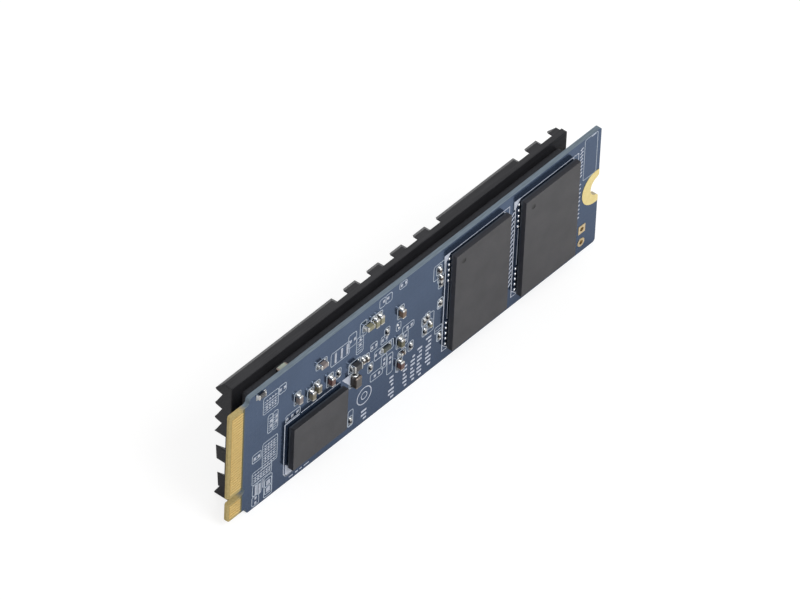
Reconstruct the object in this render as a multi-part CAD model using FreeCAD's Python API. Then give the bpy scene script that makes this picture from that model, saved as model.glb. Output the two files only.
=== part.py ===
import FreeCAD, Part
import math
import os

V = FreeCAD.Vector

# Solid state drive on a 22 x 80 mm edge-connector board, standing on its long lower edge.
# All lengths are millimetres. While a piece is drawn, x runs from the connector end,
# y runs back from the front face of the board and z runs up from its lower edge.

# Board
BOARD_LENGTH = 80.0
BOARD_WIDTH = 22.0
BOARD_THICKNESS = 0.8
BOARD_CORNER_RADIUS = 0.5
TONGUE_LENGTH = 4.0
TONGUE_INSET = 1.075
BEVEL_LENGTH = 0.35
BEVEL_DEPTH = 0.2
KEY_WIDTH = 1.2
KEY_DEPTH = 3.5
KEY_HEIGHT = 4.875
SCREW_NOTCH_RADIUS = 1.75
SCREW_NOTCH_FLARE = 0.3

# Copper that stands on the board
COPPER = 0.05
CONTACT_PITCH = 0.5
CONTACT_WIDTH = 0.35
CONTACT_START = 0.4
CONTACT_LENGTH = 2.3
CONTACT_EDGE_MARGIN = 0.4
FRONT_CONTACT_FROM_KEY = 1.375
REAR_CONTACT_FROM_KEY = 1.125
FRONT_CONTACT_BELOW_KEY_GAP = 1.125
REAR_CONTACT_BELOW_KEY_GAP = 1.375
SCREW_PAD_RADIUS = 3.05
SCREW_PAD_INSET = 0.6

# Two plated holes near the screw end
HEADER_FROM_END = 3.25
HEADER_LOWER_HEIGHT = 1.91
HEADER_PITCH = 2.54
HEADER_BORE_RADIUS = 0.375
HEADER_PAD_SIZE = 1.5

# Ball grid packages: a laminate on solder balls, with a moulded cap
BALL_HEIGHT = 0.2
BALL_RADIUS = 0.22
BALL_SIDES = 4
LAMINATE_THICKNESS = 0.26
MOULD_THICKNESS = 0.72
DIMPLE_RADIUS = 0.4
DIMPLE_DEPTH = 0.04
DIMPLE_INSET = 1.65

# Flash packages, in a row back from the screw end at the same places on both faces.
# The row has as many as clear the other parts, which end at FLASH_ROW_START.
FLASH_LENGTH = 12.0
FLASH_HEIGHT = 18.0
FLASH_FROM_END = 11.9
FLASH_PITCH = 15.2
FLASH_ROW_START = 45.0
FLASH_BALL_PITCH = 1.0
FLASH_BALL_COLUMNS = (-4.5, -3.5, -2.5, 2.5, 3.5, 4.5)
FLASH_BALL_ROWS = 13
FLASH_TEST_PAD = 0.42
FLASH_TEST_PAD_GAP = 0.05
FLASH_TEST_PAD_HEIGHTS = (-8.05, -7.0, -6.0, -5.0, -4.0, 4.15, 5.2, 6.15, 7.2, 8.3)

# Memory packages, one on each face
MEMORY_LENGTH = 11.5
MEMORY_HEIGHT = 7.8
MEMORY_X = 18.3
MEMORY_Z = 6.85
MEMORY_BALL_PITCH = 0.8
MEMORY_BALL_ROWS = (-3.2, -2.4, -1.6, 1.6, 2.4, 3.2)
MEMORY_BALL_COLUMNS = 13

# Controller package, on the rear face beside the memory
CONTROLLER_SIZE = 14.0
CONTROLLER_GAP = 1.35
CONTROLLER_BALL_PITCH = 1.0
CONTROLLER_BALL_COUNT = 12
CONTROLLER_RING_COUNT = 2

# Chip capacitors, resistors and a bead: length, width and height over the board
CHIP_0402 = (1.0, 0.5, 0.5)
CHIP_0603 = (1.6, 0.8, 0.8)
CHIP_0805 = (2.0, 1.25, 1.1)
RESISTOR_0402 = (1.0, 0.5, 0.32)
RESISTOR_0603 = (1.6, 0.8, 0.45)
BEAD_SIZE = (1.8, 1.2, 0.9)
LOW_CHIP_SIZE = (1.6, 0.8, 0.45)
END_BAND = 0.28
BODY_RELIEF = 0.02

# Places of the fitted chips, as (x, z) of each centre, upright or lying along the board
TALL_CAPACITORS_UPRIGHT = ((14.35, 15.0), (17.2, 13.75), (18.4, 14.25), (21.3, 13.6),
                           (30.6, 18.3), (31.6, 18.3), (36.35, 16.2), (36.35, 10.5), (36.5, 6.1))
TALL_CAPACITORS_LYING = ((19.3, 18.1), (29.2, 18.45))
LARGE_CAPACITORS_UPRIGHT = ((26.5, 10.1),)
SMALL_CAPACITORS_UPRIGHT = ((28.3, 12.4), (29.2, 12.2), (42.9, 9.3))
SMALL_CAPACITORS_LYING = ((37.0, 7.9),)
LOW_CAPACITORS_LYING = ((33.4, 11.35),)
BEADS_LYING = ((26.6, 12.7),)
RESISTORS_UPRIGHT = ((23.1, 13.6), (33.5, 14.3), (38.9, 7.9), (26.1, 2.3),
                     (30.1, 9.8), (41.7, 10.7), (42.4, 11.0), (41.9, 8.6))

# Places of the chips near the top edge of the board, measured down from it
RESISTORS_BY_TOP = ((6.4, 0.8),)
REAR_LARGE_CAPACITORS_BY_TOP = ((12.6, 1.25),)

# Places of the chips beside the first flash package, measured back from its near side
SMALL_CAPACITORS_BY_FLASH = ((2.4, 18.6), (2.05, 16.9))
RESISTORS_BY_FLASH = ((1.75, 11.9), (1.65, 5.4), (1.85, 15.7))

# Parts on the rear face, under the thermal pad
REAR_LARGE_CAPACITORS_LYING = ((42.5, 3.0),)
CAPACITOR_FROM_CONTROLLER = 0.8
CAPACITOR_HEIGHTS_NEAR_SIDE = (15.0, 13.4, 11.8)
CAPACITOR_HEIGHTS_FAR_SIDE = (14.6, 12.8, 8.6, 6.8)
CAPACITOR_ABOVE_CONTROLLER = 1.4
CAPACITOR_PAST_NEAR_SIDE = 4.6
POWER_CHIP_SIZE = 5.0
POWER_CHIP_HEIGHT = 0.85
POWER_CHIP_X = 10.0
POWER_CHIP_FROM_TOP = 6.4
POWER_COIL_LENGTH = 2.5
POWER_COIL_WIDTH = 2.0
POWER_COIL_HEIGHT = 1.0
POWER_COIL_PITCH = 3.2
POWER_COIL_GAP = 1.1
POWER_COIL_FROM_TOP = 7.4
POWER_COIL_COUNT = 3
CRYSTAL_LENGTH = 2.5
CRYSTAL_WIDTH = 2.0
CRYSTAL_BASE = 0.3
CRYSTAL_LID = 0.35
CRYSTAL_LID_INSET = 0.12
CRYSTAL_FROM_CONTROLLER = 3.0
CRYSTAL_FROM_TOP = 3.4

# Empty footprints on the front face: a pad at each end of a chip that is not fitted.
# Each array is (x, z, length, height) between the middles of its outermost pads.
FOOTPRINT_PAD = 0.5
FOOTPRINT_SPREAD = 0.9
FOOTPRINTS_UPRIGHT = ((33.1, 8.9), (37.6, 10.3), (34.4, 8.3), (27.6, 16.4), (8.75, 14.2),
                      (5.9, 1.3), (9.9, 14.3))
FOOTPRINTS_LYING = ((31.6, 7.5), (38.4, 12.1), (30.7, 13.5), (5.9, 9.6), (33.0, 13.3),
                    (31.6, 11.4), (25.9, 18.0))
FOOTPRINTS_BY_TOP = ((32.9, 1.1), (36.7, 0.7), (11.0, 2.8))
SMALL_ARRAY_PAD = 0.3
SMALL_ARRAY_PITCH = 0.6
SMALL_ARRAYS = ((8.65, 8.7, 1.8, 3.6), (7.2, 5.8, 3.0, 1.2), (8.6, 18.3, 1.8, 1.8))
BAR_PAD_WIDTH = 0.45
BAR_PAD_HEIGHT = 1.9
BAR_PADS = ((5.9, 3.3), (6.7, 3.1), (22.3, 17.1), (23.6, 17.1), (24.8, 17.1))
SQUARE_PAD = 0.85
SQUARE_PADS = ((8.55, 2.95), (8.55, 1.6))
MEMORY_PROBE_PADS = ((12.2, 12.4), (13.3, 12.4), (14.4, 12.4))

# Thermal pad between the rear packages and the heatsink
PAD_THICKNESS = 1.5
PAD_INSET_START = 2.0
PAD_INSET_END = 1.7
PAD_INSET_BOTTOM = 2.0
PAD_INSET_TOP = 1.85

# Heatsink: an extruded comb of ridges along the board, cut across by diagonal slots
HEATSINK_START = 4.3
HEATSINK_FROM_END = 3.5
HEATSINK_HEIGHT = 21.45
HEATSINK_BASE = 0.9
HEATSINK_DEPTH = 2.95
HEATSINK_CORNER = 0.3
RIDGE_COUNT = 4
RIDGE_PITCH = 2.73
RIDGE_DEPTH = 1.25
RIDGE_UNDERCUT = 0.5
RIDGE_LAND = 0.45
RIDGE_EASE = 0.15
RIDGE_END_GAP = 0.55
TOP_RIDGE_DROP = 1.55
SHOULDER_DEPTH = 1.6
PANEL_FOOT_HEIGHT = 1.75
PANEL_FOOT_DEPTH = 2.0
FOOT_GROOVE_DEPTH = 1.75
FOOT_LAND = 0.2
FOOT_DEPTH = 2.65
SLOT_WIDTH = 2.5
SLOT_PITCH = 5.0
START_SLOT_COUNT = 2
MIDDLE_SLOT_COUNT = 5
END_SLOT_COUNT = 2
FIRST_SLOT_AT_START = 5.5
FIRST_SLOT_IN_MIDDLE = 45.65
FIRST_SLOT_PAST_END = 12.85

# How far a cutting shape reaches past what it cuts
PAST = 1.0
SMALL = 0.001
UPRIGHT = "upright"
LYING = "lying"
FRONT = "front"
REAR = "rear"

FLASH_Z = BOARD_WIDTH / 2
CONTROLLER_NEAR_SIDE = MEMORY_X + MEMORY_LENGTH / 2 + CONTROLLER_GAP
CONTROLLER_FAR_SIDE = CONTROLLER_NEAR_SIDE + CONTROLLER_SIZE
POWER_CHIP_FAR_SIDE = POWER_CHIP_X + POWER_CHIP_SIZE / 2
HEATSINK_LENGTH = BOARD_LENGTH - HEATSINK_FROM_END - HEATSINK_START
SLOT_GROUPS = ((FIRST_SLOT_AT_START, START_SLOT_COUNT),
               (FIRST_SLOT_IN_MIDDLE, MIDDLE_SLOT_COUNT),
               (HEATSINK_LENGTH + FIRST_SLOT_PAST_END, END_SLOT_COUNT))
PACKAGE_TOP = BALL_HEIGHT + LAMINATE_THICKNESS + MOULD_THICKNESS
HEATSINK_Y = BOARD_THICKNESS + PACKAGE_TOP + PAD_THICKNESS
FRONT_REACH = PACKAGE_TOP
REAR_REACH = HEATSINK_Y + HEATSINK_DEPTH
ORIGIN = V(BOARD_LENGTH / 2, (REAR_REACH - FRONT_REACH) / 2, 0)


def box(x0, x1, y0, y1, z0, z1):
    return Part.makeBox(x1 - x0, y1 - y0, z1 - z0, V(x0, y0, z0))


def over_board(side, low, high):
    """The y range of a layer between two heights over one face of the board."""
    if side == FRONT:
        return -high, -low
    return BOARD_THICKNESS + low, BOARD_THICKNESS + high


def layer(side, x, z, length, height, low, high):
    """A rectangular block centred at (x, z) between two heights over the board."""
    y0, y1 = over_board(side, low, high)
    return box(x - length / 2, x + length / 2, y0, y1, z - height / 2, z + height / 2)


def rod(side, x, z, radius, low, high):
    y0, y1 = over_board(side, low, high)
    return Part.makeCylinder(radius, y1 - y0, V(x, y0, z), V(0, 1, 0))


def prism(points, y0, y1):
    """A block whose outline in x and z is given, between two depths."""
    corners = [V(x, y0, z) for x, z in points]
    face = Part.Face(Part.makePolygon(corners + corners[:1]))
    return face.extrude(V(0, y1 - y0, 0))


def save(name, solids):
    shape = Part.makeCompound(solids) if len(solids) > 1 else solids[0]
    moved = shape.copy()
    moved.translate(V(-ORIGIN.x, -ORIGIN.y, -ORIGIN.z))
    moved.exportStep("parts/" + name + ".step")


def rounded(shape, corners, radius, thickness):
    """Rounds the edges that run through a plate at the given (x, z) corners."""
    edges = []
    for edge in shape.Edges:
        centre = edge.CenterOfMass
        across = abs(edge.BoundBox.YLength - thickness) < SMALL
        if across and any(math.hypot(centre.x - x, centre.z - z) < SMALL for x, z in corners):
            edges.append(edge)
    return shape.makeFillet(radius, edges)


# Board


def board():
    top = BOARD_WIDTH
    shape = box(0, BOARD_LENGTH, 0, BOARD_THICKNESS, 0, top)
    for z0, z1 in ((-PAST, TONGUE_INSET), (top - TONGUE_INSET, top + PAST)):
        shape = shape.cut(box(-PAST, TONGUE_LENGTH, -PAST, BOARD_THICKNESS + PAST, z0, z1))
    radius = min(BOARD_CORNER_RADIUS, TONGUE_INSET / 2 - SMALL)
    corners = []
    for z_step, z_edge in ((TONGUE_INSET, 0), (top - TONGUE_INSET, top)):
        corners += [(0, z_step), (TONGUE_LENGTH, z_step), (TONGUE_LENGTH, z_edge)]
        corners += [(BOARD_LENGTH, z_edge)]
    shape = rounded(shape, corners, radius, BOARD_THICKNESS)
    shape = shape.cut(key_slot()).cut(screw_notch())
    for z in header_heights():
        drill = HEADER_BORE_RADIUS + COPPER
        shape = shape.cut(through(BOARD_LENGTH - HEADER_FROM_END, z, drill))
    return shape.cut(bevel(0, 1)).cut(bevel(BOARD_THICKNESS, -1))


def key_slot():
    radius = KEY_WIDTH / 2
    straight = box(-PAST, KEY_DEPTH - radius, -PAST, BOARD_THICKNESS + PAST,
                   KEY_HEIGHT - radius, KEY_HEIGHT + radius)
    return straight.fuse(through(KEY_DEPTH - radius, KEY_HEIGHT, radius))


def through(x, z, radius):
    return Part.makeCylinder(radius, BOARD_THICKNESS + 2 * PAST, V(x, -PAST, z), V(0, 1, 0))


def screw_notch():
    """A half-round notch whose mouth is eased at 45 degrees."""
    x = BOARD_LENGTH
    z = BOARD_WIDTH / 2
    ease = SCREW_NOTCH_FLARE
    half = math.sqrt(SCREW_NOTCH_RADIUS ** 2 - ease ** 2)
    wide = half + ease + PAST
    outline = [(x - ease, z - half), (x + PAST, z - wide),
               (x + PAST, z + wide), (x - ease, z + half)]
    mouth = prism(outline, -PAST, BOARD_THICKNESS + PAST)
    return through(x, z, SCREW_NOTCH_RADIUS).fuse(mouth)


def bevel(face_y, inward):
    """The wedge taken off one face of the tongue's leading edge."""
    edge_y = face_y + inward * BEVEL_DEPTH
    clear_y = face_y - inward * PAST
    outline = [(0, edge_y), (BEVEL_LENGTH, face_y), (BEVEL_LENGTH, clear_y),
               (-PAST, clear_y), (-PAST, edge_y)]
    points = [V(x, y, -PAST) for x, y in outline]
    face = Part.Face(Part.makePolygon(points + points[:1]))
    return face.extrude(V(0, 0, BOARD_WIDTH + 2 * PAST))


def header_heights():
    return [HEADER_LOWER_HEIGHT, HEADER_LOWER_HEIGHT + HEADER_PITCH]


# Copper


def contacts(side, first_above, first_below):
    """Contacts from each side of the key to the edges of the tongue."""
    margin = TONGUE_INSET + CONTACT_EDGE_MARGIN + CONTACT_WIDTH / 2
    heights = []
    z = KEY_HEIGHT + first_above
    while z <= BOARD_WIDTH - margin + SMALL:
        heights.append(z)
        z += CONTACT_PITCH
    z = KEY_HEIGHT - first_below
    while z >= margin - SMALL:
        heights.append(z)
        z -= CONTACT_PITCH
    middle = CONTACT_START + CONTACT_LENGTH / 2
    return [layer(side, middle, z, CONTACT_LENGTH, CONTACT_WIDTH, 0, COPPER) for z in heights]


def screw_plating():
    """A half-moon pad round the screw notch on each face."""
    x = BOARD_LENGTH - SCREW_PAD_INSET
    z = BOARD_WIDTH / 2
    keep = box(0, BOARD_LENGTH, -COPPER, BOARD_THICKNESS + COPPER, 0, BOARD_WIDTH)
    return [rod(side, x, z, SCREW_PAD_RADIUS, 0, COPPER).common(keep).cut(screw_notch())
            for side in (FRONT, REAR)]


def header_plating():
    x = BOARD_LENGTH - HEADER_FROM_END
    plated = []
    for z, is_square in zip(header_heights(), (False, True)):
        barrel = Part.makeCylinder(HEADER_BORE_RADIUS + COPPER, BOARD_THICKNESS,
                                   V(x, 0, z), V(0, 1, 0))
        for side in (FRONT, REAR):
            if is_square:
                pad = layer(side, x, z, HEADER_PAD_SIZE, HEADER_PAD_SIZE, 0, COPPER)
            else:
                pad = rod(side, x, z, HEADER_PAD_SIZE / 2, 0, COPPER)
            barrel = barrel.fuse(pad)
        plated.append(barrel.cut(through(x, z, HEADER_BORE_RADIUS)).removeSplitter())
    return plated


def footprint_pads():
    size = FOOTPRINT_PAD
    half = FOOTPRINT_SPREAD / 2
    pads = []
    for x, z in FOOTPRINTS_UPRIGHT:
        pads += [pad(x, z - half, size, size), pad(x, z + half, size, size)]
    for x, z in FOOTPRINTS_LYING + by_top(FOOTPRINTS_BY_TOP):
        pads += [pad(x - half, z, size, size), pad(x + half, z, size, size)]
    for x, z, length, height in SMALL_ARRAYS:
        for across in fill(length, SMALL_ARRAY_PITCH):
            for up in fill(height, SMALL_ARRAY_PITCH):
                pads.append(pad(x + across, z + up, SMALL_ARRAY_PAD, SMALL_ARRAY_PAD))
    pads += [pad(x, z, BAR_PAD_WIDTH, BAR_PAD_HEIGHT) for x, z in BAR_PADS]
    pads += [pad(x, z, SQUARE_PAD, SQUARE_PAD) for x, z in SQUARE_PADS]
    pads += [pad(x, z, size, size) for x, z in MEMORY_PROBE_PADS]
    return pads


def pad(x, z, length, height):
    return layer(FRONT, x, z, length, height, 0, COPPER)


def flash_test_pads():
    pads = []
    for package_x in flash_row():
        x = package_x - FLASH_LENGTH / 2 - FLASH_TEST_PAD_GAP - FLASH_TEST_PAD / 2
        for offset in FLASH_TEST_PAD_HEIGHTS:
            pads.append(pad(x, FLASH_Z + offset, FLASH_TEST_PAD, FLASH_TEST_PAD))
    return pads


# Packages


def balls(side, places):
    """Each solder ball as a short post that fills the gap under its package."""
    y0, y1 = over_board(side, 0, BALL_HEIGHT)
    turns = [2 * math.pi * (i + 0.5) / BALL_SIDES for i in range(BALL_SIDES)]
    ring = [(BALL_RADIUS * math.cos(turn), BALL_RADIUS * math.sin(turn)) for turn in turns]
    return [prism([(x + dx, z + dz) for dx, dz in ring], y0, y1) for x, z in places]


def centred(count, pitch):
    return [(i - (count - 1) / 2) * pitch for i in range(count)]


def fill(length, pitch):
    """Places at a pitch over a length, about its middle."""
    return centred(round(length / pitch) + 1, pitch)


def flash_row():
    """Where the middle of each flash package is along the board."""
    row = []
    x = BOARD_LENGTH - FLASH_FROM_END
    while x - FLASH_LENGTH / 2 > FLASH_ROW_START:
        row.insert(0, x)
        x -= FLASH_PITCH
    return row


def package(side, x, z, length, height):
    """The laminate of a package and the moulded cap on it, with flush sides."""
    top = BALL_HEIGHT + LAMINATE_THICKNESS
    laminate = layer(side, x, z, length, height, BALL_HEIGHT, top)
    mould = layer(side, x, z, length, height, top, PACKAGE_TOP)
    return laminate, mould


def flash(side, x):
    laminate, mould = package(side, x, FLASH_Z, FLASH_LENGTH, FLASH_HEIGHT)
    dimple = rod(side, x - FLASH_LENGTH / 2 + DIMPLE_INSET,
                 FLASH_Z + FLASH_HEIGHT / 2 - DIMPLE_INSET,
                 DIMPLE_RADIUS, PACKAGE_TOP - DIMPLE_DEPTH, PACKAGE_TOP + PAST)
    rows = centred(FLASH_BALL_ROWS, FLASH_BALL_PITCH)
    places = [(x + dx, FLASH_Z + dz) for dx in FLASH_BALL_COLUMNS for dz in rows]
    return laminate, mould.cut(dimple), balls(side, places)


def memory(side):
    laminate, mould = package(side, MEMORY_X, MEMORY_Z, MEMORY_LENGTH, MEMORY_HEIGHT)
    columns = centred(MEMORY_BALL_COLUMNS, MEMORY_BALL_PITCH)
    places = [(MEMORY_X + dx, MEMORY_Z + dz) for dx in columns for dz in MEMORY_BALL_ROWS]
    return laminate, mould, balls(side, places)


def controller():
    x = (CONTROLLER_NEAR_SIDE + CONTROLLER_FAR_SIDE) / 2
    z = BOARD_WIDTH / 2
    laminate, mould = package(REAR, x, z, CONTROLLER_SIZE, CONTROLLER_SIZE)
    count = CONTROLLER_BALL_COUNT
    offsets = centred(count, CONTROLLER_BALL_PITCH)
    edge = (CONTROLLER_RING_COUNT, count - CONTROLLER_RING_COUNT)
    places = []
    for i in range(count):
        for j in range(count):
            inside = edge[0] <= i < edge[1] and edge[0] <= j < edge[1]
            if not inside:
                places.append((x + offsets[i], z + offsets[j]))
    return laminate, mould, balls(REAR, places)


# Chips with two metal ends


def chip(side, x, z, size, posture):
    """The body and the two end caps of a chip that stands on the board."""
    length, width, height = size
    body_length = length - 2 * END_BAND
    body_width = width - 2 * BODY_RELIEF
    reach = (length - END_BAND) / 2
    if posture == LYING:
        body = layer(side, x, z, body_length, body_width, BODY_RELIEF, height - BODY_RELIEF)
        ends = [layer(side, x + s * reach, z, END_BAND, width, 0, height) for s in (-1, 1)]
    else:
        body = layer(side, x, z, body_width, body_length, BODY_RELIEF, height - BODY_RELIEF)
        ends = [layer(side, x, z + s * reach, width, END_BAND, 0, height) for s in (-1, 1)]
    return body, ends


def chips(groups):
    """Bodies and ends of several groups, each given as (side, places, size, posture)."""
    bodies = []
    ends = []
    for side, places, size, posture in groups:
        for x, z in places:
            body, pair = chip(side, x, z, size, posture)
            bodies.append(body)
            ends += pair
    return bodies, ends


def by_flash(places):
    near_side = flash_row()[0] - FLASH_LENGTH / 2
    return tuple((near_side - back, z) for back, z in places)


def by_top(places):
    return tuple((x, BOARD_WIDTH - down) for x, down in places)


def by_controller():
    """Places of the capacitors along both sides of the controller."""
    near_x = CONTROLLER_NEAR_SIDE - CAPACITOR_FROM_CONTROLLER
    far_x = CONTROLLER_FAR_SIDE + CAPACITOR_FROM_CONTROLLER
    return ([(near_x, z) for z in CAPACITOR_HEIGHTS_NEAR_SIDE]
            + [(far_x, z) for z in CAPACITOR_HEIGHTS_FAR_SIDE])


def above_controller():
    """The place of the large capacitor over the controller's upper side."""
    upper_side = (BOARD_WIDTH + CONTROLLER_SIZE) / 2
    return ((CONTROLLER_NEAR_SIDE + CAPACITOR_PAST_NEAR_SIDE,
             upper_side + CAPACITOR_ABOVE_CONTROLLER),)


# Parts of the rear face


def power_chip():
    return layer(REAR, POWER_CHIP_X, BOARD_WIDTH - POWER_CHIP_FROM_TOP,
                 POWER_CHIP_SIZE, POWER_CHIP_SIZE, 0, POWER_CHIP_HEIGHT)


def power_coils():
    size = (POWER_COIL_WIDTH, POWER_COIL_LENGTH, POWER_COIL_HEIGHT)
    first = POWER_CHIP_FAR_SIDE + POWER_COIL_GAP + POWER_COIL_WIDTH / 2
    z = BOARD_WIDTH - POWER_COIL_FROM_TOP
    places = [(first + POWER_COIL_PITCH * i, z) for i in range(POWER_COIL_COUNT)]
    return chips([(REAR, places, size, LYING)])


def crystal():
    x = CONTROLLER_FAR_SIDE + CRYSTAL_FROM_CONTROLLER
    z = BOARD_WIDTH - CRYSTAL_FROM_TOP
    base = layer(REAR, x, z, CRYSTAL_WIDTH, CRYSTAL_LENGTH, 0, CRYSTAL_BASE)
    lid = layer(REAR, x, z, CRYSTAL_WIDTH - 2 * CRYSTAL_LID_INSET,
                CRYSTAL_LENGTH - 2 * CRYSTAL_LID_INSET, CRYSTAL_BASE, CRYSTAL_BASE + CRYSTAL_LID)
    return base, lid


# Cooling


def thermal_pad():
    """Fills the gap from the package tops to the heatsink, inside the heatsink's outline."""
    return box(HEATSINK_START + PAD_INSET_START, HEATSINK_START + HEATSINK_LENGTH - PAD_INSET_END,
               BOARD_THICKNESS + PACKAGE_TOP, HEATSINK_Y,
               PAD_INSET_BOTTOM, HEATSINK_HEIGHT - PAD_INSET_TOP)


def heatsink_profile():
    """Depth behind the board-side face and height, from the foot up and back down."""
    top = HEATSINK_HEIGHT
    tip_z = top - TOP_RIDGE_DROP
    half = RIDGE_LAND / 2
    flat = half - RIDGE_EASE
    eased = HEATSINK_DEPTH - RIDGE_EASE
    valley = HEATSINK_DEPTH - RIDGE_DEPTH
    points = [(0, 0), (0, top), (SHOULDER_DEPTH, top)]
    for i in range(RIDGE_COUNT):
        z = tip_z - RIDGE_PITCH * i
        points += [(eased, z + half), (HEATSINK_DEPTH, z + flat),
                   (HEATSINK_DEPTH, z - flat), (eased, z - half)]
        if i < RIDGE_COUNT - 1:
            points.append((valley, z - RIDGE_UNDERCUT))
    points += [(PANEL_FOOT_DEPTH, PANEL_FOOT_HEIGHT), (FOOT_GROOVE_DEPTH, PANEL_FOOT_HEIGHT)]
    points += [(FOOT_DEPTH, FOOT_LAND), (FOOT_DEPTH, 0)]
    return points


def heatsink():
    """The comb, cut back to its base at the screw end and slotted across."""
    corners = [V(HEATSINK_START, HEATSINK_Y + depth, z) for depth, z in heatsink_profile()]
    face = Part.Face(Part.makePolygon(corners + corners[:1]))
    comb = face.extrude(V(HEATSINK_LENGTH, 0, 0))
    end_x = HEATSINK_START + HEATSINK_LENGTH
    comb = comb.cut(box(end_x - RIDGE_END_GAP, end_x + PAST, HEATSINK_Y + HEATSINK_BASE,
                        HEATSINK_Y + HEATSINK_DEPTH + PAST, -PAST, HEATSINK_HEIGHT + PAST))
    comb = rounded(comb, [(end_x, 0), (end_x, HEATSINK_HEIGHT)], HEATSINK_CORNER, HEATSINK_BASE)
    slots = []
    for first, count in SLOT_GROUPS:
        slots += [slot(first + SLOT_PITCH * i) for i in range(count)]
    return comb.cut(slots)


def slot(foot):
    """One slot at 45 degrees; foot is where its middle meets the heatsink's lower edge."""
    low = -PAST
    high = HEATSINK_HEIGHT + PAST
    half = SLOT_WIDTH / 2
    x = HEATSINK_START + foot
    outline = [(x - low - half, low), (x - low + half, low),
               (x - high + half, high), (x - high - half, high)]
    return prism(outline, HEATSINK_Y + HEATSINK_BASE, HEATSINK_Y + HEATSINK_DEPTH + PAST)


def build():
    os.makedirs("parts", exist_ok=True)
    save("circuit_board", [board()])
    save("edge_contacts_front",
         contacts(FRONT, FRONT_CONTACT_FROM_KEY, FRONT_CONTACT_BELOW_KEY_GAP))
    save("edge_contacts_rear",
         contacts(REAR, REAR_CONTACT_FROM_KEY, REAR_CONTACT_BELOW_KEY_GAP))
    save("screw_notch_plating", screw_plating())
    save("header_hole_plating", header_plating())
    save("footprint_pads", footprint_pads())
    save("flash_test_pads", flash_test_pads())

    packages = {"memory_front": memory(FRONT), "memory_rear": memory(REAR),
                "controller": controller()}
    for name, (laminate, mould, solder) in packages.items():
        save(name + "_laminate", [laminate])
        save(name + "_mould", [mould])
        save(name + "_balls", solder)
    for side in (FRONT, REAR):
        laminates, moulds, solder = zip(*[flash(side, x) for x in flash_row()])
        save("flash_" + side + "_laminates", laminates)
        save("flash_" + side + "_moulds", moulds)
        save("flash_" + side + "_balls", [ball for under in solder for ball in under])

    small = [(FRONT, SMALL_CAPACITORS_UPRIGHT, CHIP_0402, UPRIGHT),
             (FRONT, SMALL_CAPACITORS_LYING, CHIP_0402, LYING),
             (FRONT, by_flash(SMALL_CAPACITORS_BY_FLASH), CHIP_0402, UPRIGHT),
             (REAR, by_controller(), CHIP_0402, UPRIGHT)]
    tall = [(FRONT, TALL_CAPACITORS_UPRIGHT, CHIP_0603, UPRIGHT),
            (FRONT, TALL_CAPACITORS_LYING, CHIP_0603, LYING)]
    large = [(FRONT, LARGE_CAPACITORS_UPRIGHT, CHIP_0805, UPRIGHT),
             (REAR, REAR_LARGE_CAPACITORS_LYING, CHIP_0805, LYING),
             (REAR, by_top(REAR_LARGE_CAPACITORS_BY_TOP), CHIP_0805, LYING),
             (REAR, above_controller(), CHIP_0805, LYING)]
    low = [(FRONT, LOW_CAPACITORS_LYING, LOW_CHIP_SIZE, LYING)]
    resistors = [(FRONT, RESISTORS_UPRIGHT, RESISTOR_0402, UPRIGHT),
                 (FRONT, by_flash(RESISTORS_BY_FLASH), RESISTOR_0402, UPRIGHT),
                 (FRONT, by_top(RESISTORS_BY_TOP), RESISTOR_0603, LYING)]
    beads = [(FRONT, BEADS_LYING, BEAD_SIZE, LYING)]
    families = {"small_capacitor": chips(small), "tall_capacitor": chips(tall),
                "large_capacitor": chips(large), "low_capacitor": chips(low),
                "resistor": chips(resistors), "bead": chips(beads),
                "power_coil": power_coils()}
    for name, (bodies, ends) in families.items():
        save(name + "_bodies", bodies)
        save(name + "_ends", ends)

    save("power_chip", [power_chip()])
    crystal_base, crystal_lid = crystal()
    save("crystal_base", [crystal_base])
    save("crystal_lid", [crystal_lid])
    save("thermal_pad", [thermal_pad()])
    save("heatsink", [heatsink()])


build()
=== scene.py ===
import math
from collections import namedtuple

import bmesh
import bpy
from mathutils import Matrix, Vector, noise


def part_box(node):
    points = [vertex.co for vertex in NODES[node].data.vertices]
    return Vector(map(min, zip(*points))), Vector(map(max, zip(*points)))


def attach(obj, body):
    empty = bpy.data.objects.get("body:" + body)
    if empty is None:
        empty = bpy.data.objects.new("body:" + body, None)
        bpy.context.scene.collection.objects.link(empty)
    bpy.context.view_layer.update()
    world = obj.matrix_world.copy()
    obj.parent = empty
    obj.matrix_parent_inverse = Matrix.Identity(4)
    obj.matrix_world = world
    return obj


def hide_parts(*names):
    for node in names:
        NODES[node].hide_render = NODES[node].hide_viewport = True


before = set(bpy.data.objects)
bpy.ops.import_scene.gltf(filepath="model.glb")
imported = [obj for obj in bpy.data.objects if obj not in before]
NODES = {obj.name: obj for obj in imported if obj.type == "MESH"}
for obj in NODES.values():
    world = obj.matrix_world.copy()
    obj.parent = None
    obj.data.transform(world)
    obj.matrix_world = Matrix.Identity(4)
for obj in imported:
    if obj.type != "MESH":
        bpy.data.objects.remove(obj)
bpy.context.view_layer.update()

# Lengths in the values and tables below are millimetres, apart from those of the camera, the
# lamps and the floor, which are metres. Places on the board are (l, w): l runs from the
# connector end and w runs up from the lower edge. Heights stand on the front face.
MM = 0.001
BOARD_LOW, BOARD_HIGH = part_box("circuit_board")
BOARD_LEFT = BOARD_LOW.x
FRONT_Y = BOARD_LOW.y
REAR_Y = BOARD_HIGH.y
FRONT = -1
REAR = 1


def place(l, w, height):
    """The point at a place on the board, and at a height over its front face."""
    return Vector((BOARD_LEFT + l * MM, FRONT_Y - height * MM, w * MM))


def on_board(point):
    """The place (l, w) on the board that a point lies over."""
    return (point.x - BOARD_LEFT) / MM, point.z / MM


# Meshes

# Corners nearer than this, in metres, are one corner
SAME_PLACE = 1e-7
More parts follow.
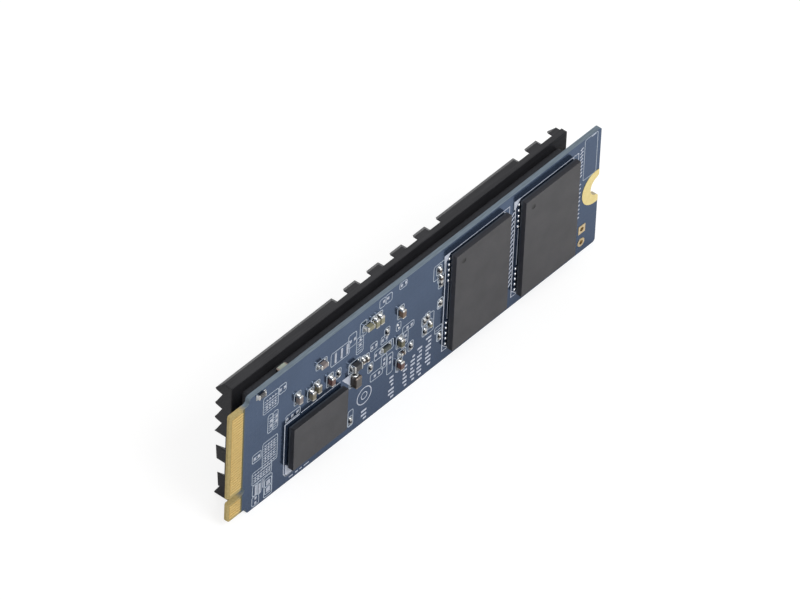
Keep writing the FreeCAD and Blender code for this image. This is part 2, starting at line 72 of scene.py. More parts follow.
# A direction shorter than this is none
NO_LENGTH = 1e-6
# At a sharp turn, the edges of a line run out to its half width divided by this at most
SHARPEST_TURN = 0.5
# A side is at least this many times as long as the radius at its corners
SIDE_PER_RADIUS = 2.01
# A block is rounded by at most this share of its shortest side
MOST_ROUNDING = 0.45
ROUNDING_STEPS = 2


def to_object(bm, name, materials, smooth=False):
    """Turns a built mesh into a piece with its materials."""
    bmesh.ops.recalc_face_normals(bm, faces=bm.faces)
    mesh = bpy.data.meshes.new(name)
    bm.to_mesh(mesh)
    bm.free()
    for material in materials:
        mesh.materials.append(material)
    for polygon in mesh.polygons:
        polygon.use_smooth = smooth
    piece = bpy.data.objects.new(name, mesh)
    bpy.context.scene.collection.objects.link(piece)
    return piece


def skin(bm, rings):
    """Joins rings of points into a closed skin, with a face at each end."""
    made = [[bm.verts.new(point) for point in ring] for ring in rings]
    for low, high in zip(made, made[1:]):
        for i in range(len(low)):
            j = (i + 1) % len(low)
            bm.faces.new((low[i], low[j], high[j], high[i]))
    bm.faces.new(made[0])
    bm.faces.new(made[-1])


def plate(bm, outline, height):
    """A flat plate on the front face, with an outline of (l, w) points."""
    skin(bm, [[place(l, w, level) for l, w in outline] for level in (0, height)])


def stroke(bm, points, width, height, closed=False, material=0):
    """A flat line of constant width on the front face, through (l, w) points."""
    count = len(points)
    left, right = [], []
    for i, (l, w) in enumerate(points):
        before = Vector(points[i - 1]) if closed or i > 0 else None
        after = Vector(points[(i + 1) % count]) if closed or i < count - 1 else None
        here = Vector((l, w))
        into = (here - before).normalized() if before is not None else None
        out = (after - here).normalized() if after is not None else None
        into = into if into is not None else out
        out = out if out is not None else into
        square = Vector((-into.y, into.x))
        normal = Vector((-(into.y + out.y), into.x + out.x))
        normal = normal.normalized() if normal.length > NO_LENGTH else square
        reach = width / 2 / max(SHARPEST_TURN, normal.dot(square))
        left.append(here + normal * reach)
        right.append(here - normal * reach)
    corners = [[bm.verts.new(place(point.x, point.y, level)) for point in edge]
               for edge in (left, right) for level in (0, height)]
    left_low, left_high, right_low, right_high = corners
    faces = []
    for i in range(count if closed else count - 1):
        j = (i + 1) % count
        for a, b in ((left_high, right_high), (left_low, right_low), (left_low, left_high),
                     (right_low, right_high)):
            faces.append(bm.faces.new((a[i], a[j], b[j], b[i])))
    if not closed:
        for i in (0, count - 1):
            faces.append(bm.faces.new((left_low[i], left_high[i], right_high[i], right_low[i])))
    for face in faces:
        face.material_index = material


def rounded_outline(l0, w0, l1, w1, radius, steps=3):
    """A rectangle between two corners, with its own corners rounded in steps."""
    radius = min(radius, (l1 - l0) / SIDE_PER_RADIUS, (w1 - w0) / SIDE_PER_RADIUS)
    points = []
    for l, w, start in ((l1 - radius, w1 - radius, 0), (l0 + radius, w1 - radius, 90),
                        (l0 + radius, w0 + radius, 180), (l1 - radius, w0 + radius, 270)):
        for i in range(steps + 1):
            turn = math.radians(start + 90 * i / steps)
            points.append((l + radius * math.cos(turn), w + radius * math.sin(turn)))
    return points


def circle(l, w, radius, sides):
    """Points on a circle about a place."""
    return [(l + radius * math.cos(2 * math.pi * i / sides),
             w + radius * math.sin(2 * math.pi * i / sides)) for i in range(sides)]


def even_steps(outline, count):
    """The same closed outline with about count points at even steps."""
    lengths = [math.dist(a, b) for a, b in zip(outline, outline[1:] + outline[:1])]
    step = sum(lengths) / count
    points = []
    for (a, b), length in zip(zip(outline, outline[1:] + outline[:1]), lengths):
        parts = max(1, round(length / step))
        points += [(a[0] + (b[0] - a[0]) * i / parts, a[1] + (b[1] - a[1]) * i / parts)
                   for i in range(parts)]
    return points


def islands(node):
    """The lowest and highest corner of each separate solid in a CAD node, in the order of x."""
    bm = bmesh.new()
    bm.from_mesh(NODES[node].data)
    bmesh.ops.remove_doubles(bm, verts=bm.verts, dist=SAME_PLACE)
    bm.verts.ensure_lookup_table()
    seen, boxes = set(), []
    for start in bm.verts:
        if start.index in seen:
            continue
        seen.add(start.index)
        group, stack = [], [start]
        while stack:
            vert = stack.pop()
            group.append(vert.co.copy())
            for edge in vert.link_edges:
                other = edge.other_vert(vert)
                if other.index not in seen:
                    seen.add(other.index)
                    stack.append(other)
        low = Vector([min(co[i] for co in group) for i in range(3)])
        high = Vector([max(co[i] for co in group) for i in range(3)])
        boxes.append((low, high))
    bm.free()
    return sorted(boxes, key=lambda box: tuple(box[0]))


def soft_box(bm, low, high, radius, material=0):
    """A block with rounded edges."""
    part = bmesh.new()
    bmesh.ops.create_cube(part, size=1.0)
    size = high - low
    for vert in part.verts:
        vert.co = Vector([low[i] + (vert.co[i] + 0.5) * size[i] for i in range(3)])
    radius = min(radius, min(size) * MOST_ROUNDING)
    bmesh.ops.bevel(part, geom=part.edges, offset=radius, segments=ROUNDING_STEPS, profile=0.5,
                    affect="EDGES")
    for face in part.faces:
        face.material_index = material
    scratch = bpy.data.meshes.new("scratch")
    part.to_mesh(scratch)
    part.free()
    bm.from_mesh(scratch)
    bpy.data.meshes.remove(scratch)


# Materials

# Spans of a noise, from nearly all of it to its middle
WIDE = (0.3, 0.7)
MIDDLE = (0.35, 0.65)
NARROW = (0.38, 0.62)
WHITE = (1, 1, 1)


def rgb(colour):
    """A colour with full alpha, as the nodes take it."""
    return (*colour, 1.0)


class Tree:
    """The node tree of one material or world."""

    def __init__(self, owner):
        owner.use_nodes = True
        self.tree = owner.node_tree
        self.tree.nodes.clear()

    def node(self, kind, sockets=None, **settings):
        made = self.tree.nodes.new(kind)
        for key, value in settings.items():
            setattr(made, key, value)
        for key, value in (sockets or {}).items():
            if isinstance(value, bpy.types.NodeSocket):
                self.tree.links.new(value, made.inputs[key])
            else:
                made.inputs[key].default_value = value
        return made

    def math(self, operation, a, b=0.0):
        return self.node("ShaderNodeMath", {0: a, 1: b}, operation=operation).outputs[0]

    def spread(self, value, span, onto=(0.0, 1.0)):
        """Maps a value from one span onto another, and holds it there."""
        return self.node("ShaderNodeMapRange", {"Value": value, "From Min": span[0],
                                                "From Max": span[1], "To Min": onto[0],
                                                "To Max": onto[1]}).outputs["Result"]

    def bounced(self, path):
        """1 for a ray that a surface has mirrored or let through, and 0 for any other."""
        return self.math("MAXIMUM", path["Is Glossy Ray"], path["Is Transmission Ray"])


class Paint(Tree):
    """The node tree of one material, with what its colours and relief are made of."""

    def __init__(self, name):
        self.material = bpy.data.materials.new(name)
        super().__init__(self.material)
        place_node = self.node("ShaderNodeTexCoord")
        self.where = place_node.outputs["Object"]
        self.normal = place_node.outputs["Normal"]

    def noise(self, size, detail=2.0, roughness=0.5, scale=(1, 1, 1)):
        """Noise whose features are about size millimetres."""
        where = self.node("ShaderNodeMapping", {"Vector": self.where, "Scale": scale}).outputs[0]
        return self.node("ShaderNodeTexNoise", {"Vector": where, "Scale": 1 / (size * MM),
                                                "Detail": detail,
                                                "Roughness": roughness}).outputs["Fac"]

    def axis(self, vector, index):
        return self.node("ShaderNodeSeparateXYZ", {0: vector}).outputs[index]

    def vector(self, operation, a, b=(0, 0, 0), output="Vector"):
        return self.node("ShaderNodeVectorMath", {0: a, 1: b},
                         operation=operation).outputs[output]

    def half_each(self, a, b):
        return self.math("ADD", self.math("MULTIPLY", a, 0.5), self.math("MULTIPLY", b, 0.5))

    def along_board(self, start, end):
        """0 up to one place along the board, and 1 from the other."""
        return self.spread(self.axis(self.where, 0),
                           (BOARD_LEFT + start * MM, BOARD_LEFT + end * MM))

    def facing(self, span):
        """0 on surfaces that stand square to the board, and 1 on those that lie along it."""
        return self.spread(self.math("ABSOLUTE", self.axis(self.normal, 1)), span)

    def mix(self, share, a, b):
        return self.node("ShaderNodeMix", {0: share, 6: a, 7: b}, data_type="RGBA").outputs[2]

    def tone(self, value, span, dark, light):
        """A colour that goes from dark to light as a value goes over its span."""
        return self.mix(self.spread(value, span), rgb(dark), rgb(light))

    def bump(self, height, depth, normal=None):
        sockets = {"Height": height, "Distance": depth * MM}
        if normal is not None:
            sockets["Normal"] = normal
        return self.node("ShaderNodeBump", sockets).outputs["Normal"]

    def finish(self, **sockets):
        named = {key.replace("_", " "): value for key, value in sockets.items()}
        shader = self.node("ShaderNodeBsdfPrincipled", named)
        self.node("ShaderNodeOutputMaterial", {"Surface": shader.outputs[0]})
        return self.material


# The board's colours, as dark and light where there are two
MASK = ((0.05, 0.082, 0.148), (0.06, 0.096, 0.17))
MASK_SPECKS = (0.068, 0.108, 0.182)
# Painted shade: the mask's colour at the board's lower edge
MASK_LOW_SHADE = (0.041, 0.069, 0.128)
CUT_EDGE = ((0.12, 0.155, 0.185), (0.21, 0.262, 0.315))
TONGUE_EDGE = ((0.42, 0.32, 0.13), (0.53, 0.42, 0.19))
NOTCH_WALL = (0.46, 0.4, 0.27)
BARE_LAMINATE = (0.13, 0.125, 0.07)
# Where one gives way to the next, as two places along the board
MASK_START = (2.98, 3.12)
CUT_EDGE_START = (2.3, 3.4)
BARE_LAMINATE_START = (2.6, 2.75)
# The heights on the board over which the painted shade at its lower edge fades out
LOW_SHADE_FADE = (1.5, 16)
# The screw notch, whose wall is plated out to these shares of its radius
NOTCH_CENTRE = Vector((BOARD_HIGH.x, 0, (BOARD_LOW.z + BOARD_HIGH.z) / 2))
NOTCH_RADIUS = 1.75
NOTCH_WALL_FADE = (1.05, 1.12)
# How nearly a surface lies along the board, from a cut edge to a masked face
FACE_SPAN = (0.6, 0.8)
# Sizes of the clouds and specks in the mask, and how strongly the specks show in its colour
# and in its relief beside the weave
MASK_CLOUDS = 7.0
SPECK_SIZE = 0.35
SPECK_COLOUR = 0.25
SPECK_RELIEF = 0.6
WEAVE_SIZE = 3.0
MASK_RELIEF = 0.0025
# The glass strands along the cut edges, which are long in x, and the mottling of the tongue's
STRAND_SIZE = 0.12
STRAND_STRETCH = (0.05, 1, 1)
MOTTLE_SIZE = 0.3
MASK_METALLIC = 0.75
BARE_ROUGHNESS = 0.6
MASK_ROUGHNESS = 0.15
# How far the roughness strays either way, in patches of this size
ROUGHNESS_DRIFT = 0.03
DRIFT_SIZE = 1.2


def board_material():
    """Glossy blue mask, darker towards the lower edge as painted shade, with bare laminate at the
    tongue and along the edges.
    """
    p = Paint("board_mask")
    flat = p.facing(FACE_SPAN)
    mask = p.math("MULTIPLY", flat, p.along_board(*MASK_START))
    specks = p.noise(SPECK_SIZE)
    blue = p.tone(p.noise(MASK_CLOUDS, detail=3.0), MIDDLE, *MASK)
    blue = p.mix(p.spread(specks, WIDE, (0.0, SPECK_COLOUR)), blue, rgb(MASK_SPECKS))
    # Painted shade: the mask darkens towards the board's lower edge
    low_shade = p.spread(p.axis(p.where, 2), (LOW_SHADE_FADE[0] * MM, LOW_SHADE_FADE[1] * MM))
    blue = p.mix(low_shade, rgb(MASK_LOW_SHADE), blue)
    strands = p.noise(STRAND_SIZE, detail=3.0, roughness=0.6, scale=STRAND_STRETCH)
    edge = p.tone(strands, WIDE, *CUT_EDGE)
    tan = p.tone(p.noise(MOTTLE_SIZE), WIDE, *TONGUE_EDGE)
    rim = p.mix(p.along_board(*CUT_EDGE_START), tan, edge)
    across = p.vector("MULTIPLY", p.vector("SUBTRACT", p.where, NOTCH_CENTRE), (1, 0, 1))
    away = p.vector("LENGTH", across, output="Value")
    plated = [NOTCH_RADIUS * MM * share for share in NOTCH_WALL_FADE]
    rim = p.mix(p.spread(away, plated), rgb(NOTCH_WALL), rim)
    rooted = p.math("MULTIPLY", flat, p.along_board(*BARE_LAMINATE_START))
    colour = p.mix(mask, p.mix(rooted, rim, rgb(BARE_LAMINATE)), blue)
    weave = [p.node("ShaderNodeTexWave", {"Vector": p.where, "Scale": 1 / (WEAVE_SIZE * MM)},
                    bands_direction=direction).outputs["Fac"] for direction in ("X", "Z")]
    relief = p.math("ADD", p.math("MULTIPLY", *weave), p.math("MULTIPLY", specks, SPECK_RELIEF))
    rough = p.spread(mask, (0, 1), (BARE_ROUGHNESS, MASK_ROUGHNESS))
    drift = p.spread(p.noise(DRIFT_SIZE), WIDE, (-ROUGHNESS_DRIFT, ROUGHNESS_DRIFT))
    return p.finish(Base_Color=colour, Roughness=p.math("ADD", rough, drift),
                    Metallic=p.math("MULTIPLY", mask, MASK_METALLIC),
                    Specular_IOR_Level=0.1, Normal=p.bump(relief, MASK_RELIEF))


# How many times larger the clouds of a metal are than its grain
CLOUD_PER_GRAIN = 4
# Roughness of its dark and light parts, as shares of the stated one
METAL_ROUGHNESS = (1.25, 0.8)


def metal(name, light, dark, rough, size=0.4, grain=(1, 1, 1), depth=0.004):
    """Bare metal with cloudy colour, and fine lumps of a size and depth, or scratches where
    grain makes them long in one direction."""
    p = Paint(name)
    scratch = p.noise(size, detail=4.0, roughness=0.65, scale=grain)
    both = p.half_each(p.noise(size * CLOUD_PER_GRAIN, detail=3.0), scratch)
    return p.finish(Base_Color=p.tone(both, MIDDLE, dark, light), Metallic=1.0,
                    Roughness=p.spread(both, WIDE, [rough * share for share in METAL_ROUGHNESS]),
                    Normal=p.bump(scratch, depth))


CLOUD_SIZE = 3.0
# Roughness of its dark and light parts, as shares of the stated one
MATTE_ROUGHNESS = (1.08, 0.92)
COAT_ROUGHNESS = 0.12
SPOT_RADIUS = 0.55
# A spot is full up to this share of its radius, and its colour is this share of the dark one
SPOT_CORE = 0.6
SPOT_SHADE = 0.25
# How nearly a surface lies along the board, from a side in painted shade to a face
SHADED_SIDE_SPAN = (0.3, 0.7)


def matte(name, light, dark, rough, size=0.08, depth=0.003, level=0.5, coat=0.0, spots=(),
          sides=1.0):
    """A plastic, ceramic or rubber with fine grain and a faint cloudiness. It may have dark
    spots at places (l, w), and sides painted darker as painted shade, at the given share of its
    dark colour."""
    p = Paint(name)
    grain = p.noise(size, detail=3.0, roughness=0.6)
    both = p.half_each(grain, p.noise(CLOUD_SIZE, detail=3.0))
    colour = p.tone(both, NARROW, dark, light)
    for l, w in spots:
        centre = (BOARD_LEFT + l * MM, 0, w * MM)
        flat = p.vector("MULTIPLY", p.where, (1, 0, 1))
        away = p.vector("DISTANCE", flat, centre, "Value")
        inside = p.spread(away, (SPOT_RADIUS * MM * SPOT_CORE, SPOT_RADIUS * MM), (1.0, 0.0))
        colour = p.mix(inside, colour, rgb([part * SPOT_SHADE for part in dark]))
    # Painted shade: the sides take a darker copy of the dark colour
    if sides < 1.0:
        colour = p.mix(p.facing(SHADED_SIDE_SPAN), rgb([part * sides for part in dark]), colour)
    return p.finish(Base_Color=colour, Specular_IOR_Level=level, Coat_Weight=coat,
                    Coat_Roughness=COAT_ROUGHNESS, Normal=p.bump(grain, depth),
                    Roughness=p.spread(both, MIDDLE, [rough * share for share in MATTE_ROUGHNESS]))


# The heatsink's colours, as dark and light where there are two, and how far its lighter edges,
# partly wear and partly painted highlight, and its rounding reach in from an edge
ANODISED = ((0.021, 0.021, 0.0235), (0.029, 0.029, 0.032))
ANODISED_LINES = (0.036, 0.036, 0.04)
ANODISED_WEAR_SHEEN = (0.07, 0.069, 0.074)
WEAR_SHEEN_RADIUS = 0.12
SOFT_RADIUS = 0.3
EDGE_SAMPLES = 8
# How far a face agrees with its rounded normal where the wear and painted highlight start, and
# where they are full
WEAR_SHEEN_SPAN = (0.97, 0.8)
# The wear and painted highlight are patchy: the span of the grain that thins them, and what is
# left of them there
PATCH_SPAN = (0.4, 0.6)
LEAST_WEAR_SHEEN = 0.3
# The drawn lines, which are long in x, and how strongly they show in the colour
LINE_SIZE = 0.16
LINE_STRETCH = (0.02, 1, 1)
LINE_COLOUR = 0.6
LINE_ROUGHNESS = (0.5, 0.4)
SATIN_SIZE = 0.06
SATIN_RELIEF = 0.5
ANODISED_CLOUDS = 5.0
ANODISED_RELIEF = 0.012


def heatsink_material():
    """Black anodised extrusion: lines along the board, satin grain, and edges made lighter, partly
    as wear and partly as painted highlight.
    """
    p = Paint("anodised_black")
    lines = p.noise(LINE_SIZE, detail=4.0, roughness=0.6, scale=LINE_STRETCH)
    satin = p.noise(SATIN_SIZE)
    edge, soft = [p.node("ShaderNodeBevel", {"Radius": radius * MM},
                         samples=EDGE_SAMPLES).outputs["Normal"]
                  for radius in (WEAR_SHEEN_RADIUS, SOFT_RADIUS)]
    true = p.node("ShaderNodeNewGeometry").outputs["True Normal"]
    bend = p.vector("DOT_PRODUCT", edge, true, "Value")
    patches = p.spread(satin, PATCH_SPAN, (LEAST_WEAR_SHEEN, 1.0))
    # The lighter edges are partly wear and partly painted highlight
    wear_sheen = p.math("MULTIPLY", p.spread(bend, WEAR_SHEEN_SPAN), patches)
    black = p.tone(p.noise(ANODISED_CLOUDS), MIDDLE, *ANODISED)
    black = p.mix(p.spread(lines, MIDDLE, (0.0, LINE_COLOUR)), black, rgb(ANODISED_LINES))
    relief = p.math("ADD", lines, p.math("MULTIPLY", satin, SATIN_RELIEF))
    return p.finish(Base_Color=p.mix(wear_sheen, black, rgb(ANODISED_WEAR_SHEEN)), Metallic=0.08,
                    Specular_IOR_Level=0.12, Roughness=p.spread(lines, WIDE, LINE_ROUGHNESS),
                    Normal=p.bump(relief, ANODISED_RELIEF, normal=soft))


# Each material as its light and dark colour and its roughness, and what else sets it apart
GOLD_CONTACT = metal("gold_contact", (0.77, 0.565, 0.215), (0.65, 0.46, 0.16), 0.3, size=0.1,
                     grain=(0.06, 1, 1), depth=0.003)
GOLD_PAD = metal("gold_pad", (0.81, 0.68, 0.31), (0.73, 0.59, 0.25), 0.34, size=0.12)
GOLD_RING = metal("gold_ring", (0.66, 0.53, 0.33), (0.5, 0.38, 0.2), 0.36, size=0.12)
TIN = metal("tinned_copper", (0.54, 0.57, 0.64), (0.38, 0.41, 0.47), 0.36, size=0.12,
            depth=0.01)
DOME = metal("solder_dome", (0.88, 0.89, 0.9), (0.74, 0.75, 0.77), 0.2, size=0.1)
SOLDER = metal("solder", (0.5, 0.52, 0.53), (0.29, 0.3, 0.31), 0.26, size=0.16, depth=0.008)
CHIP_END = metal("plated_chip_end", (0.62, 0.61, 0.59), (0.38, 0.37, 0.35), 0.27, size=0.1,
                 depth=0.006)
DULL_END = metal("dull_chip_end", (0.26, 0.22, 0.195), (0.16, 0.135, 0.12), 0.32, size=0.1,
                 depth=0.01)
OLIVE_END = metal("olive_chip_end", (0.14, 0.15, 0.115), (0.09, 0.1, 0.08), 0.42, size=0.1,
                  depth=0.01)
LID = metal("crystal_lid_metal", (0.72, 0.69, 0.62), (0.6, 0.57, 0.5), 0.34, size=0.1,
            grain=(0.1, 1, 1))

# Each flash package has a dimple at its first corner, this far in from two sides
DIMPLE_INSET = 1.65
FLASH_PACKAGES = islands("flash_front_moulds")
FLASH_DIMPLES = [(on_board(low)[0] + DIMPLE_INSET, on_board(high)[1] - DIMPLE_INSET)
                 for low, high in FLASH_PACKAGES]


def mould(name, **details):
    """The black compound that packages are moulded from."""
    return matte(name, (0.031, 0.0298, 0.034), (0.0235, 0.0225, 0.026), 0.48, size=0.05,
                 depth=0.006, **details)


MOULD = mould("mould_compound")
FLASH_MOULD = mould("flash_mould_compound", spots=FLASH_DIMPLES)
# The memory package's sides carry painted shade
MEMORY_MOULD = mould("memory_mould_compound", sides=0.62)
LAMINATE = matte("package_laminate", (0.042, 0.048, 0.058), (0.028, 0.033, 0.04), 0.42,
                 size=0.1)
INK = matte("legend_ink", (0.62, 0.66, 0.76), (0.52, 0.56, 0.65), 0.62, size=0.06)
THIN_INK = matte("legend_ink_thin", (0.46, 0.52, 0.6), (0.34, 0.39, 0.47), 0.62, size=0.06)
RESISTOR = matte("resistor_glaze", (0.03, 0.03, 0.034), (0.016, 0.016, 0.02), 0.3, coat=0.3)
FERRITE = matte("ferrite", (0.035, 0.035, 0.038), (0.02, 0.02, 0.022), 0.5, size=0.1,
                depth=0.01)
PALE_CERAMIC = matte("crystal_ceramic", (0.62, 0.6, 0.55), (0.5, 0.48, 0.43), 0.55, size=0.1)
SILICONE = matte("thermal_silicone", (0.062, 0.064, 0.073), (0.045, 0.047, 0.055), 0.85,
                 size=0.12, depth=0.012, level=0.3)
CERAMICS = {
    "pink": matte("ceramic_pink", (0.3, 0.25, 0.24), (0.18, 0.15, 0.14), 0.4),
    "sage": matte("ceramic_sage", (0.3, 0.34, 0.27), (0.21, 0.24, 0.19), 0.4),
    "beige": matte("ceramic_beige", (0.26, 0.23, 0.16), (0.14, 0.12, 0.075), 0.4),
    "yellow": matte("ceramic_yellow", (0.3, 0.285, 0.175), (0.18, 0.17, 0.1), 0.4),
    "orange": matte("ceramic_orange", (0.23, 0.145, 0.09), (0.12, 0.07, 0.042), 0.4),
    "red": matte("ceramic_red", (0.2, 0.1, 0.075), (0.085, 0.035, 0.03), 0.4),
    "olive": matte("ceramic_olive", (0.14, 0.13, 0.07), (0.07, 0.066, 0.036), 0.4),
    "green": matte("ceramic_green", (0.07, 0.08, 0.072), (0.042, 0.05, 0.046), 0.4),
    "dark": matte("ceramic_dark", (0.07, 0.056, 0.045), (0.022, 0.02, 0.02), 0.3, size=0.3),
    "brown": matte("ceramic_brown", (0.12, 0.085, 0.06), (0.06, 0.042, 0.032), 0.4),
}


def dress(material, *names):
    """Gives CAD nodes a material."""
    for name in names:
        for slot in NODES[name].material_slots:
            slot.material = material


def dress_nodes():
    """Dresses every CAD node that isn't replaced."""
    dress(board_material(), "circuit_board")
    dress(heatsink_material(), "heatsink")
    dress(GOLD_CONTACT, "edge_contacts_front", "edge_contacts_rear")
    dress(GOLD_PAD, "screw_notch_plating")
    dress(GOLD_RING, "header_hole_plating")
    dress(TIN, "footprint_pads", "flash_test_pads")
    dress(FLASH_MOULD, "flash_front_moulds", "flash_rear_moulds")
    dress(MEMORY_MOULD, "memory_front_mould", "memory_rear_mould")
    dress(MOULD, "controller_mould", "power_chip")
    dress(LAMINATE, "flash_front_laminates", "flash_rear_laminates", "memory_front_laminate",
          "memory_rear_laminate", "controller_laminate")
    dress(PALE_CERAMIC, "crystal_base")
    dress(LID, "crystal_lid")


def settle(piece, slot, *replaced):
    """Gives a new piece its body, and hides the CAD nodes that it stands for. The slot is not
    used.
    """
    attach(piece, "root")
    if replaced:
        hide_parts(*replaced)


# Chips with rounded edges, in place of their plain blocks

# Each kind of chip, with the slot of its bodies
CHIP_KINDS = {
    "tall_capacitor": "capacitor_ceramic", "small_capacitor": "capacitor_ceramic",
    "large_capacitor": "capacitor_ceramic", "low_capacitor": "capacitor_ceramic",
    "resistor": "resistor_body", "bead": "ferrite", "power_coil": "ferrite",
}
PLAIN_BODIES = {"resistor_body": [RESISTOR], "ferrite": [FERRITE]}
END_METALS = {"large_capacitor": DULL_END, "low_capacitor": OLIVE_END}
# Colours of the ceramic bodies, each by the place (l, w) of its chip. The rest are brown.
BODY_COLOURS = {
    "pink": ((14.35, 15.0), (19.3, 18.1)),
    "sage": ((12.6, 20.75),),
    "beige": ((17.2, 13.75), (18.4, 14.25)),
    "yellow": ((29.2, 18.45), (30.6, 18.3), (31.6, 18.3), (42.9, 9.3)),
    "orange": ((36.35, 16.2),),
    "red": ((36.5, 6.1), (21.3, 13.6)),
    "olive": ((36.35, 10.5),),
    "green": ((33.4, 11.35),),
    "dark": ((26.5, 10.1),),
}
# A chip this near to such a place is the one that it gives
SAME_CHIP = 0.3
BODY_ROUNDING = 0.08
# How far a body reaches into each metal end
BODY_TUCK = 0.06
END_ROUNDING = 0.12
# Rings of a metal end, from the body outwards: the share of its length, and how far it narrows
END_RINGS = ((0.0, 0.0), (0.4, 0.0), (0.65, 0.025), (0.85, 0.08), (0.96, 0.15), (1.0, 0.2))
# A metal end narrows by at most this share of its thinner way across
MOST_NARROWING = 0.3

# The box of a chip's body, those of its two metal ends, the axis (0 or 2) along which the ends
# lie, and the face of the board that carries it
Chip = namedtuple("Chip", "low high ends axis side")


def middle_of(box):
    """The middle of anything whose first two items are its lowest and highest corner."""
    return (box[0] + box[1]) / 2


def chips_of(kind):
    """The chips of one kind, each body with the two metal ends nearest to it."""
    all_ends = islands(kind + "_ends")
    chips = []
    for body in islands(kind + "_bodies"):
        centre = middle_of(body)
        ends = sorted(all_ends, key=lambda box: (middle_of(box) - centre).length)[:2]
        offset = middle_of(ends[0]) - centre
        axis = 0 if abs(offset.x) > abs(offset.z) else 2
        side = FRONT if centre.y < FRONT_Y else REAR
        chips.append(Chip(*body, ends, axis, side))
    return chips


CHIPS = {kind: chips_of(kind) for kind in CHIP_KINDS}


def outward(chip, end):
    """The way (1 or -1) along the chip's axis that leads out through one end."""
    return 1 if middle_of(end)[chip.axis] > middle_of(chip)[chip.axis] else -1


def metal_end(bm, low, high, axis, sign):
    """A metal end with rounded edges and a domed outer face."""
    across = 2 - axis
    inner, outer = (low[axis], high[axis]) if sign > 0 else (high[axis], low[axis])
    narrowest = min(high[across] - low[across], high.y - low.y)
    rings = []
    for share, narrowing in END_RINGS:
        inset = min(narrowing * MM, narrowest * MOST_NARROWING)
        ring = []
        for over, y in rounded_outline(low[across] + inset, low.y + inset, high[across] - inset,
                                       high.y - inset, END_ROUNDING * MM):
            spot = Vector((0, y, 0))
            spot[axis], spot[across] = inner + (outer - inner) * share, over
            ring.append(spot)
        rings.append(ring)
    skin(bm, rings)


def ceramic_colour(chip):
    """The colour that the table gives at a chip's place."""
    place_here = on_board(middle_of(chip))
    for colour, places in BODY_COLOURS.items():
        if any(math.dist(place_here, there) < SAME_CHIP for there in places):
            return colour
    return "brown"


def chip_pieces():
    """The bodies and the metal ends of each kind of chip, as two pieces."""
    for kind, slot in CHIP_KINDS.items():
        bodies, ends = bmesh.new(), bmesh.new()
        for chip in CHIPS[kind]:
            index = 0
            if slot == "capacitor_ceramic":
                index = list(CERAMICS).index(ceramic_colour(chip))
            tuck = Vector((0, 0, 0))
            tuck[chip.axis] = BODY_TUCK * MM
            soft_box(bodies, chip.low - tuck, chip.high + tuck, BODY_ROUNDING * MM, index)
            for end in chip.ends:
                metal_end(ends, *end, chip.axis, outward(chip, end))
        materials = PLAIN_BODIES.get(slot) or list(CERAMICS.values())
        settle(to_object(bodies, kind + "_rounded_bodies", materials), slot, kind + "_bodies")
        plating = END_METALS.get(kind, CHIP_END)
        settle(to_object(ends, kind + "_rounded_ends", [plating], True), "chip_ends",
               kind + "_ends")


# Solder at the ends of each chip: a pad, and a rounded heap up to the metal end

PAD_MARGIN = 0.06
PAD_THICKNESS = 0.03
FILLET_REACH = 0.22
# A chip lower than this has a heap that reaches out less
FULL_REACH_HEIGHT = 0.55
# The heap's height as a share of the chip's, and its least height over the pad
FILLET_HEIGHT = 0.66
FILLET_FOOT = 0.004
# How far each side of the heap draws in towards its outer end, as a share of its width
FILLET_PINCH = 0.06
# Heights of the heap as shares, along the chip's axis and across it
FILLET_PROFILE = ((0.0, 1.0), (0.2, 0.94), (0.45, 0.76), (0.7, 0.48), (0.88, 0.22), (1.0, 0.0))
FILLET_ARCH = ((0.0, 0.35), (0.12, 0.66), (0.3, 0.91), (0.5, 1.0), (0.7, 0.91), (0.88, 0.66),
               (1.0, 0.35))


def solder_joint(bm, low, high, axis, sign, side):
    """The pad and the heap outside one metal end of a chip that lies along an axis."""
    across = 2 - axis
    face = FRONT_Y if side == FRONT else REAR_Y
    tall = (high.y - low.y) * FILLET_HEIGHT
    reach = FILLET_REACH * MM * min(1.0, (high.y - low.y) / (FULL_REACH_HEIGHT * MM))
    start = (high if sign > 0 else low)[axis]
    inner = (low if sign > 0 else high)[axis]
    near, far = low[across], high[across]

    def point(along, over, height):
        spot = Vector((0, face + side * height, 0))
        spot[axis], spot[across] = along, over
        return spot

    thick, margin = PAD_THICKNESS * MM, PAD_MARGIN * MM
    foot = start + sign * (reach + margin)
    pad = [(inner, near - margin), (foot, near - margin), (foot, far + margin),
           (inner, far + margin)]
    skin(bm, [[point(along, over, level) for along, over in pad] for level in (0, thick)])
    rings = []
    for along, height in FILLET_PROFILE:
        run = start + sign * along * reach
        pinch = (far - near) * FILLET_PINCH * along
        wide = far - near - 2 * pinch
        heap = [point(run, near + pinch + wide * share,
                      thick + tall * height * rise + FILLET_FOOT * MM)
                for share, rise in FILLET_ARCH]
        rings.append([point(run, far - pinch, 0), point(run, near + pinch, 0)] + heap)
    skin(bm, rings)


def solder_piece():
    bm = bmesh.new()
    for chips in CHIPS.values():
        for chip in chips:
            for end in chip.ends:
                solder_joint(bm, *end, chip.axis, outward(chip, end), chip.side)
    settle(to_object(bm, "solder_joints", [SOLDER], True), "solder")


# Flat domes of solder on the pads of the empty footprints

PAD_DOME_HEIGHT = 0.05
# How far its rings step in, as a share of the pad's shorter side, and their heights
PAD_DOME_STEP = 0.16
PAD_DOME_RINGS = ((0.25, 0.0), (0.4, 0.55), (0.9, 0.85), (1.6, 1.0))


